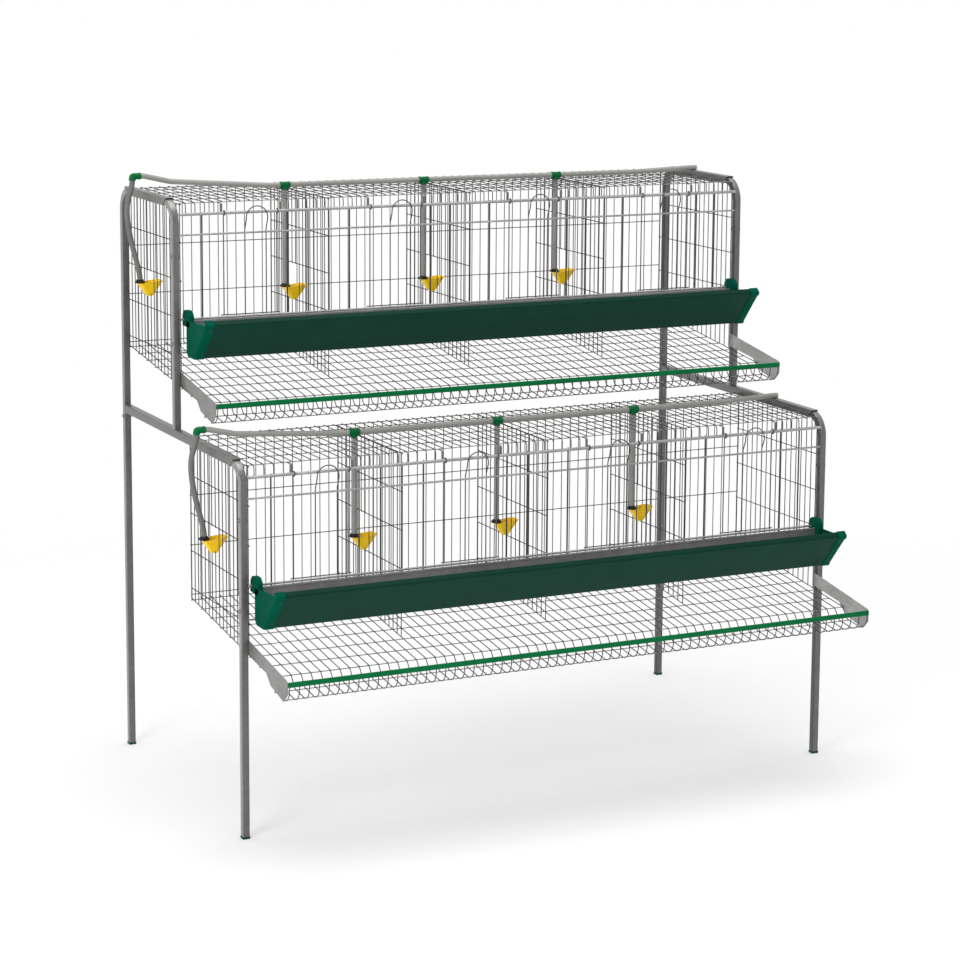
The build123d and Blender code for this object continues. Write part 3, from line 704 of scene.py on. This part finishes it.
doorSizes = {
    "wire": 3.0, "sides": 12, "weld": (2.4, 1.9, 2.4), "y": 7.8, "rodY": 2.0, "rodZ": 893.0, "eyeTurn": 318,
    "bottom": 634.0, "sill": (106.29, 265.14), "hung": (2, 4.5), "handle": (3, 4), "handleY": -3.8,
    "jogZ": 849.5, "jogTop": 875.5, "jogRound": 20.0, "archZ": 879.5,
}


def doorSurfaces(x0):
    # two wires that end in an eye round the rod, a handle up, over a half circle and down, and a sill
    d = doorSizes
    ring = roundProfile(d["wire"], d["sides"])
    foot = (d["y"], d["bottom"])
    hungXs, handleXs = ([x0 + k * frontSizes["barPitch"] for k in d[key]] for key in ("hung", "handle"))
    eye = arcPath((d["rodY"], d["rodZ"]), d["y"] - d["rodY"], 0, d["eyeTurn"], count=22)
    left, right = handleXs
    leg = [foot, (d["y"], d["jogZ"]), (d["handleY"], d["jogTop"]), (d["handleY"], d["archZ"])]
    leg = roundedPath(leg, d["jogRound"], steps=6)
    arch = arcPath(((left + right) / 2, d["archZ"]), (right - left) / 2, 180, 0, count=20)[1:-1]
    handle = [atWidth(leg, left), atDepth(arch, d["handleY"]), atWidth(leg, right)[::-1]]
    return [sideSweep(np.concatenate([[foot], eye]), hungXs, ring),
            sweep(np.concatenate(handle), ring, (0, 1, 0)),
            crossSweep(x0 + d["sill"][0], x0 + d["sill"][1], [foot], ring),
            weldSpots([(x, *foot) for x in hungXs + handleXs], d["weld"])]


for tier in tiers:
    addPiece(f"{tier}_front_rods", frontRods(), ["rodZinc"])
    addPiece(f"{tier}_front_bars", frontBars(), ["barZinc", "weldDark"], edge="wire")
    addPiece(f"{tier}_top_clips", topClips(), ["tubeZinc"])
    for number, x0 in enumerate(planes[:-1], start=1):
        door = f"{tier}_door_{number}"
        addPiece(door, doorSurfaces(x0), ["doorZinc", "weldDark"], body=door, edge="wire")
print("front built")

# Egg gutter: plastic edge strip and sheet ends
gutterSizes = {
    "stripY": -250.0, "stripZ": 448.5, "strip": (6.0, 13.0), "stripCorner": 2.9, "reach": 803.5,
    "inner": 803.5, "plate": 1.5, "round": 10.0, "edge": 0.25, "edgeDeep": 0.3,
    "outline": ((16, 480), (16, 498), (-250, 457), (-250, 425), (-224, 402), (-142, 420), (-112, 446), (9, 462),
                (16, 462), (16, 480)),
}


def eggStrip():
    # a rounded box carried straight across
    g = gutterSizes
    bar = boxProfile(*g["strip"], g["stripCorner"], steps=7)
    return [crossSweep(-g["reach"], g["reach"], [(g["stripY"], g["stripZ"])], bar)]


def trayPlates():
    # the rounded outline at four depths, drawn in on both faces; the left plate gets a darker zinc as painted
    # shade
    g = gutterSizes
    loop = roundedPath(g["outline"], g["round"], steps=8)[:-1]
    inner, outer, deep = g["inner"], g["inner"] + g["plate"], g["edgeDeep"]
    levels = (inner, g["edge"]), (inner + deep, 0.0), (outer - deep, 0.0), (outer, g["edge"])
    return [plateSurface(loop, levels), mirrored(plateSurface(loop, levels, 1))]


for tier in tiers:
    addPiece(f"{tier}_egg_strip", eggStrip(), ["stripGreen"])
    addPiece(f"{tier}_tray_plates", trayPlates(), ["sheetZinc", "shadedPlateZinc"])
print("egg gutter built")

# Feed trough: folded painted sheet, bare zinc inside, moulded caps that hook on the hanger rod
troughSizes = {
    "path": ((-17.0, 629.0), (-17.0, 549.0), (-26.0, 539.5), (-75.0, 539.5), (-153.8, 632.4), (-141.2, 642.6)),
    "sheet": 1.2, "fold": 5.0, "hem": (2.2, 7.0), "hemCorner": 1.0, "end": 792.0,
}
capSizes = {
    "wall": 2.0, "inner": 770.0, "outer": 795.0, "plate": 3.0, "skin": 0.02, "thinned": 0.5, "ease": 0.6,
    "overlap": 0.05, "edge": 2.0, "round": 12.0, "roundSlope": 0.76, "roundFrom": -60,
    "middle": (-80.0, 585.0), "inward": (0.1, 0.8), "lipDown": 9.0, "lipWall": 2.8, "lipBack": 1.0,
    "hookInner": 782.0, "rod": (3.0, 629.0), "bore": 3.1, "mouth": 5.4, "hookRound": 9.0,
    "hook": ((0.3, 613.0), (-38.0, 613.0), (-38.0, 642.0), (-26.0, 654.0), (0.0, 654.0), (12.0, 642.0),
             (12.0, 613.0), (5.7, 613.0)),
    "screwX": 780.0, "screws": ((-144.0, 617.5), (-91.5, 555.6)), "screwSides": 16,
    "recess": ((3.0, -0.5), (3.0, 0.1), (2.6, 0.2)), "screw": ((1.5, -0.5), (1.5, 0.4), (0.9, 0.7)),
}


def folded(points):
    # the sheet's line with its folds rounded
    return roundedPath(points, troughSizes["fold"], steps=6)


def frontWall():
    # foot and top of the sloping front
    return np.array(troughSizes["path"][3:5])


def troughSurface():
    # the folded line and its inward offset as one loop, carried from end to end, with a hem along the rear
    t = troughSizes
    line = folded(t["path"])
    inside = offsetPath(line, -t["sheet"])
    loop = np.concatenate([inside, line[::-1]])
    painted = np.where(line[::-1, 1] > frontWall()[1, 1], 2, 0)  # the lip gets a darker copy of the green as painted shade
    slot = np.concatenate([np.ones(len(inside), int), painted])
    rearY, rearZ = t["path"][0]
    wide, tall = t["hem"]
    hem = [(rearY - t["sheet"] / 2, rearZ - tall / 2)]
    return [ringStack([atWidth(loop, x) for x in (-t["end"], t["end"])], slot),
            crossSweep(-t["end"], t["end"], hem, boxProfile(wide, tall, t["hemCorner"]), 1)]


def capRounding(line):
    # radius of the plate's edge: small round the rear and bottom, wide down the front wall
    c = capSizes
    ahead = np.gradient(line, axis=0)
    rise = ahead[:, 1] / np.linalg.norm(ahead, axis=1)
    facing = np.clip(rise / c["roundSlope"], 0, 1) * (line[:, 0] < c["roundFrom"])
    return c["edge"] + (c["round"] - c["edge"]) * facing


def capPlate():
    # the end's outline below the lip, its edge a quarter circle drawn in towards the middle
    c = capSizes
    line = offsetPath(folded(troughSizes["path"][:-1]), c["wall"])
    loop, radius = line[::-1], capRounding(line)[::-1]
    inward = np.array(c["middle"]) - loop
    span = np.linalg.norm(inward, axis=1, keepdims=True)
    inward /= span
    near, far = c["inward"]
    # each level's angle, depth and share of the way to the middle, on the inner face and then the outer
    levels = [(90, c["plate"], far)] + [(angle, c["plate"], 0) for angle in (90, 45, 0)]
    levels += [(angle, 0, 0) for angle in range(0, 91, 15)] + [(90, 0, near), (90, 0, far)]
    rings = []
    for angle, deep, more in levels:
        reach = np.clip(radius - deep, 0, None)
        x = c["outer"] - radius + reach * math.sin(math.radians(angle))
        drawn = (radius - reach * math.cos(math.radians(angle)))[:, None]
        rings.append(atWidth(loop + inward * (drawn + (span - drawn) * more), x))
    return ringStack(rings)


def capBand(line, far, levels):
    # a wall round the outside of the line; each level gives x and how far the wall is thinned
    rings = []
    for x, inset in levels:
        loop = np.concatenate([offsetPath(line, capSizes["skin"]), offsetPath(line, far - inset)[::-1]])
        x = np.broadcast_to(x, len(line))
        rings.append(atWidth(loop, np.concatenate([x, x[::-1]])))
    return ringStack(rings)


def capFlange():
    # a band round the sheet's outside up to the plate's rounding, and a thicker one over the lip
    c, t = capSizes, troughSizes
    low, high = frontWall()
    start = high + (low - high) * c["lipDown"] / np.linalg.norm(low - high)
    line, lip = folded(t["path"][:-1]), folded([start, high, t["path"][5]])
    inner, lipOuter, thinned, ease = c["inner"], c["outer"] - c["lipBack"], c["thinned"], c["ease"]
    plateSide = c["outer"] - capRounding(line) + c["overlap"]
    wallLevels = (inner, thinned), (inner + ease, 0.0), (plateSide, 0.0)
    lipLevels = (inner - ease, thinned), (inner, 0.0), (lipOuter - ease, 0.0), (lipOuter, thinned)
    return [capBand(line, c["wall"], wallLevels), capBand(lip, c["lipWall"], lipLevels)]


def capHook():
    # a rounded outline that runs into an open circle round the hanger rod
    c = capSizes
    outline = roundedPath(c["hook"], c["hookRound"], steps=6)
    lean = math.degrees(math.asin(c["mouth"] / 2 / c["bore"]))
    bore = arcPath(c["rod"], c["bore"], -90 + lean, 270 - lean, count=20)
    return plateSurface(np.concatenate([outline, bore])[::-1], ((c["hookInner"], 0.0), (c["outer"], 0.0)))


def capScrews():
    # a black ring as painted shade in the recess, and a screw head, turned about the front wall's normal at
    # each place
    c = capSizes
    low, high = frontWall()
    along = (high - low) / np.linalg.norm(high - low)
    axis = np.array([0.0, -along[1], along[0]])
    flat = low + np.outer((np.array(c["screws"]) - low) @ along, along)
    places = atWidth(flat, c["screwX"]) + axis * c["wall"]
    return [turned(c[key], places, axis, c["screwSides"], slot) for slot, key in ((1, "recess"), (2, "screw"))]


for tier in tiers:
    trough = f"{tier}_trough"
    addPiece(trough, troughSurface(), ["troughGreen", "troughZinc", "lipShadeGreen"], trough)
    right = [capPlate(), *capFlange(), capHook(), *capScrews()]
    caps = right + [mirrored(surface) for surface in right]
    # valveBlack in the caps' screw recesses is painted shade
    addPiece(f"{trough}_caps", caps, ["capGreen", "valveBlack", "shadeAndScrewZinc"], trough)
print("troughs built")

# Water line: pipes, green fittings, drop tubes, black valves and yellow cups
waterSizes = {
    "y": 248.75, "pipe": 14.0, "pipeSides": 20, "pipeZ": 932.3, "inletZ": 968.3, "restZ": 938.5,
    "stops": (-425.0, -25.0, 375.0), "elbowX": -842.0, "inletEnd": -831.0, "levelEnd": -812.0, "bend": 60.0,
    "sag": ((-740.0, 951.5), (-470.0, 932.3)), "outletFrom": 633.4, "railX": 803.4, "outlet": 822.0,
    "sleeve": 8.35, "lip": 9.05, "bore": 6.75, "band": 5.0, "bandRise": 0.8, "ease": 0.6, "fittingSides": 24,
    "tee": 14.0, "branch": 14.0, "branchSocket": 6.0, "elbowLow": 957.3, "elbowArm": 22.0, "elbowRound": 8.0,
    "valveTop": 671.75, "valveLow": 662.75, "valveSides": 28, "side": 25.0, "endLift": 30.0,
    "valve": ((12.3, 0.0), (13.5, 0.8), (13.5, 4.2), (12.5, 5.0), (10.2, 5.2), (9.6, 8.2), (8.8, 9.0)),
}


def waterPipes():
    # three round runs along bent lines in the front view
    w = waterSizes
    ring = roundProfile(w["pipe"], w["pipeSides"])
    first, last = w["stops"][0], w["stops"][-1]
    inletZ, pipeZ, restZ = w["inletZ"], w["pipeZ"], w["restZ"]
    lines = [
        [(w["inletEnd"], inletZ), (w["levelEnd"], inletZ), *w["sag"], (first, pipeZ)],
        [(first, pipeZ), (last, pipeZ)],
        [(last, pipeZ), (w["outletFrom"], pipeZ), (w["railX"], restZ), (w["outlet"], restZ)],
    ]
    return [sweep(atDepth(roundedPath(line, w["bend"], steps=10), w["y"]), ring, (0, 1, 0)) for line in lines]


def collar(length):
    # radius and height pairs of a sleeve with a thicker, rounded band at its mouth
    w = waterSizes
    sleeve, lip, ease, foot = w["sleeve"], w["lip"], w["ease"], length - w["band"]
    return [(sleeve, 0.0), (sleeve, foot), (lip, foot + w["bandRise"]), (lip, length - ease),
            (lip - ease, length), (w["bore"], length)]


def waterTees():
    # a collar turned about the pipe both ways, and one about the branch
    w = waterSizes
    places = [(x, w["y"], w["pipeZ"]) for x in w["stops"]]
    arms = ((-1, 0, 0), w["tee"]), ((1, 0, 0), w["tee"]), ((0, 0, -1), w["branch"])
    return [turned(collar(length), places, way, w["fittingSides"]) for way, length in arms]


def waterElbow():
    # a round run along a rounded corner, with a turned band at each mouth
    w = waterSizes
    x, z, sides = w["elbowX"], w["inletZ"], w["fittingSides"]
    flat = roundedPath([(x + w["elbowArm"], z), (x, z), (x, w["elbowLow"])], w["elbowRound"], steps=9)
    sleeve, lip, ease, long = w["sleeve"], w["lip"], w["ease"], w["band"]
    band = [(sleeve, 0.0), (lip, ease), (lip, long - ease), (sleeve, long)]
    return [sweep(atDepth(flat, w["y"]), roundProfile(2 * sleeve, sides), (0, 1, 0)),
            turned(band, [(x + w["elbowArm"] - long, w["y"], z)], (1, 0, 0), sides),
            turned(band, [(x, w["y"], w["elbowLow"] + long)], (0, 0, -1), sides)]


def dropTubes():
    # upright round runs from the valves into the tees' branches
    w = waterSizes
    high = w["pipeZ"] - w["branch"] + w["branchSocket"]
    ring = roundProfile(w["pipe"], w["pipeSides"])
    return [uprightSweep([(x, w["y"]) for x in w["stops"]], w["valveTop"], high, ring)]


def drinkerPlaces():
    # one at each partition, the first on the end panel and higher
    w = waterSizes
    return np.array([(x, w["y"], w["endLift"] if x == planes[0] else 0.0) for x in planes[:-1]])


def drinkerValves():
    # radius and height pairs turned about an upright line beside each cup
    w = waterSizes
    places = drinkerPlaces() + (-w["side"], 0, w["valveLow"])
    return [turned(w["valve"], places, (0, 0, 1), w["valveSides"])]


cupSizes = {
    "foot": (17.0, 16.0), "footCorner": 6.0, "rim": (65.0, 40.0), "rimCorner": 9.0, "rimShift": 0.5,
    "cornerSteps": 8, "cornerInset": 0.5, "low": 628.75, "high": 668.0, "wall": 2.0,
    "step": 5.2, "stepX": -8.0, "stepLong": 4.0,
    "outside": ((0.0, 1.2), (0.03, 0.0), (0.35, 0.0), (0.7, 0.0), (0.97, 0.0)),  # share of the height, inset
    "lip": ((1.0, -0.8), (1.0, 0.4), (1.0, 1.6)), "inside": (0.96, 0.6, 0.25, 0.06),
}


def cupRing(t, inset):
    # foot and rim outlines blended by t, with the rim lowered behind a smooth step
    c = cupSizes
    outlines = []
    for key in ("foot", "rim"):
        wide, long = np.array(c[key]) - 2 * inset
        corner = c[key + "Corner"] - inset * c["cornerInset"]
        outlines.append(boxProfile(wide, long, corner, c["cornerSteps"]))
    foot, rim = outlines
    flat = foot * (1 - t) + (rim + (c["rimShift"], 0)) * t
    ease = np.clip((flat[:, 0] - c["stepX"]) / c["stepLong"] + 0.5, 0, 1)
    top = c["high"] - c["step"] * (1 - ease * ease * (3 - 2 * ease))
    return np.column_stack([flat, c["low"] + (top - c["low"]) * t])


def drinkerCups():
    # rings up the outside, over the lip and down the inside
    c = cupSizes
    levels = [*c["outside"], *c["lip"], *((t, c["wall"]) for t in c["inside"])]
    rings = np.array([cupRing(*level) for level in levels])
    return [ringSurface(drinkerPlaces()[:, None, None] + rings)]


for tier in tiers:
    for node, surfaces, finish, slotName in (
            ("water_pipes", waterPipes(), "pipeGrey", "pipe_grey"),
            ("water_tees", waterTees(), "fittingGreen", "fitting_green"),
            ("water_elbow", waterElbow(), "fittingGreen", "fitting_green"),
            ("drop_tubes", dropTubes(), "pipeGrey", "pipe_grey"),
            ("drinker_valves", drinkerValves(), "valveBlack", "valve_black"),
            ("drinker_cups", drinkerCups(), "cupYellow", "cup_yellow")):
        addPiece(f"{tier}_{node}", surfaces, [finish])
print("water line built")

# Supply hoses in metres, from the elbow down to the first drinker
hoseSizes = {
    "diameter": 0.014, "length": 0.2612, "y": 0.24875,
    "route": ((-0.842, 0.9573), (-0.842, 0.945), (-0.858, 0.898), (-0.856, 0.848), (-0.845, 0.79),
              (-0.825, 0.718), (-0.825, 0.70175)),
}


def supplyHose(tier):
    # a round bevel along a smooth curve that the route guides
    line = atDepth(np.array(hoseSizes["route"]), hoseSizes["y"]) + cageOrigin + tiers[tier]
    curve = bpy.data.curves.new(f"{tier}SupplyHose", "CURVE")
    curve.dimensions = "3D"
    curve.bevel_depth = hoseSizes["diameter"] / 2
    curve.bevel_resolution = 6
    curve.use_fill_caps = True
    spline = curve.splines.new("NURBS")
    spline.points.add(len(line) - 1)
    spline.points.foreach_set("co", np.column_stack([line, np.ones(len(line))]).ravel())
    spline.order_u = 3
    spline.use_endpoint_u = True
    spline.resolution_u = 10
    curve.materials.append(bpy.data.materials["hoseGrey"])
    hose = bpy.data.objects.new(f"{tier}SupplyHose", curve)
    bpy.context.scene.collection.objects.link(hose)
    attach(hose, "cage")
    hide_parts(f"{tier}_supply_hose")


for tier in tiers:
    supplyHose(tier)
print("hoses built")

# Stage in metres: pale floor, white surroundings, soft lights and the photo's camera
stageSizes = {
    "camera": (-3.09622, -6.03033, 2.21985), "lens": 103.28, "sensor": 36.0, "shift": (-0.0802, -0.1198),
    "azimuth": 27.32, "elevation": 9.276, "roll": 0.6245,
    "floor": 60.0, "floorTone": (0.96, 0.96, 0.965, 1), "floorRough": 0.9, "fade": (1.7, 3.2), "glow": 0.3,
    "fill": 0.55, "aim": (0, 0, 0.75),
    "key": ((-4.6, -3.2, 2.4), 2.0, 120.0), "top": ((0.3, 0.2, 8.0), 5.0, 360.0),  # place, size and power
}


def makeFloor():
    # a matt square that turns into plain white away from the middle
    s = stageSizes
    tree, shader = newMaterial("paleFloor")
    setNode(tree, shader, Base_Color=s["floorTone"], Roughness=s["floorRough"], Specular_IOR_Level=0.0)
    place = addNode(tree, "TexCoord").outputs["Object"]
    away = addNode(tree, "VectorMath", operation="LENGTH", Vector=place).outputs["Value"]
    near, far = s["fade"]
    fade = addNode(tree, "MapRange", interpolation_type="SMOOTHSTEP", Value=away,
                   From_Min=near, From_Max=far, To_Min=s["glow"]).outputs["Result"]
    glow = addNode(tree, "Emission", Color=(1, 1, 1, 1), Strength=1.0).outputs[0]
    mix = fillNode(tree, addNode(tree, "MixShader"), fade, shader.outputs[0], glow)
    feed(tree, tree.nodes["Material Output"].inputs["Surface"], mix)
    half = s["floor"] / 2
    mesh = bpy.data.meshes.new("floor")
    corners = [(-half, -half, 0), (half, -half, 0), (half, half, 0), (-half, half, 0)]
    mesh.from_pydata(corners, [], [(0, 1, 2, 3)])
    mesh.materials.append(bpy.data.materials["paleFloor"])
    floor = bpy.data.objects.new("floor", mesh)
    bpy.context.scene.collection.objects.link(floor)


def makeWorld():
    # white where the camera, a reflection or glass sees it, and dimmer as light
    world = bpy.data.worlds.new("studio")
    bpy.context.scene.world = world
    world.use_nodes = True
    tree = world.node_tree
    tree.nodes.clear()
    path = addNode(tree, "LightPath").outputs
    seen = addMath(tree, "ADD", path["Is Camera Ray"], path["Is Glossy Ray"])
    seen = addMath(tree, "ADD", seen, path["Is Transmission Ray"])
    seen.node.use_clamp = True
    strength = addNode(tree, "MapRange", Value=seen, To_Min=stageSizes["fill"], To_Max=1.0)
    back = addNode(tree, "Background", Color=(1, 1, 1, 1), Strength=strength.outputs["Result"])
    addNode(tree, "OutputWorld", Surface=back.outputs[0])


def addLight(name, place, size, power):
    # an area light whose back points away from the aim
    light = bpy.data.lights.new(name, "AREA")
    light.shape = "SQUARE"
    light.size = size
    light.energy = power
    lamp = bpy.data.objects.new(name, light)
    bpy.context.scene.collection.objects.link(lamp)
    place = np.array(place)
    back = place - stageSizes["aim"]
    back /= np.linalg.norm(back)
    side = np.cross((0, 0, 1), back)
    side /= np.linalg.norm(side)
    up = np.cross(back, side)
    lamp.matrix_world = Matrix(np.vstack([np.column_stack([side, up, back, place]), (0, 0, 0, 1)]).tolist())


def makeCamera():
    # moved to its place, then turned, tilted and rolled
    s = stageSizes
    data = bpy.data.cameras.new("camera")
    data.lens, data.sensor_width = s["lens"], s["sensor"]
    data.shift_x, data.shift_y = s["shift"]
    camera = bpy.data.objects.new("camera", data)
    bpy.context.scene.collection.objects.link(camera)
    turn = Matrix.Rotation(-math.radians(s["azimuth"]), 4, "Z")
    tilt = Matrix.Rotation(math.radians(90 - s["elevation"]), 4, "X")
    roll = Matrix.Rotation(math.radians(s["roll"]), 4, "Z")
    place = Matrix.Translation(np.array(s["camera"]) + cageOrigin)
    camera.matrix_world = place @ turn @ tilt @ roll
    bpy.context.scene.camera = camera


makeFloor()
makeWorld()
addLight("keyLight", *stageSizes["key"])
addLight("topLight", *stageSizes["top"])
makeCamera()
bpy.context.scene.view_settings.view_transform = "Standard"
print("stage set")
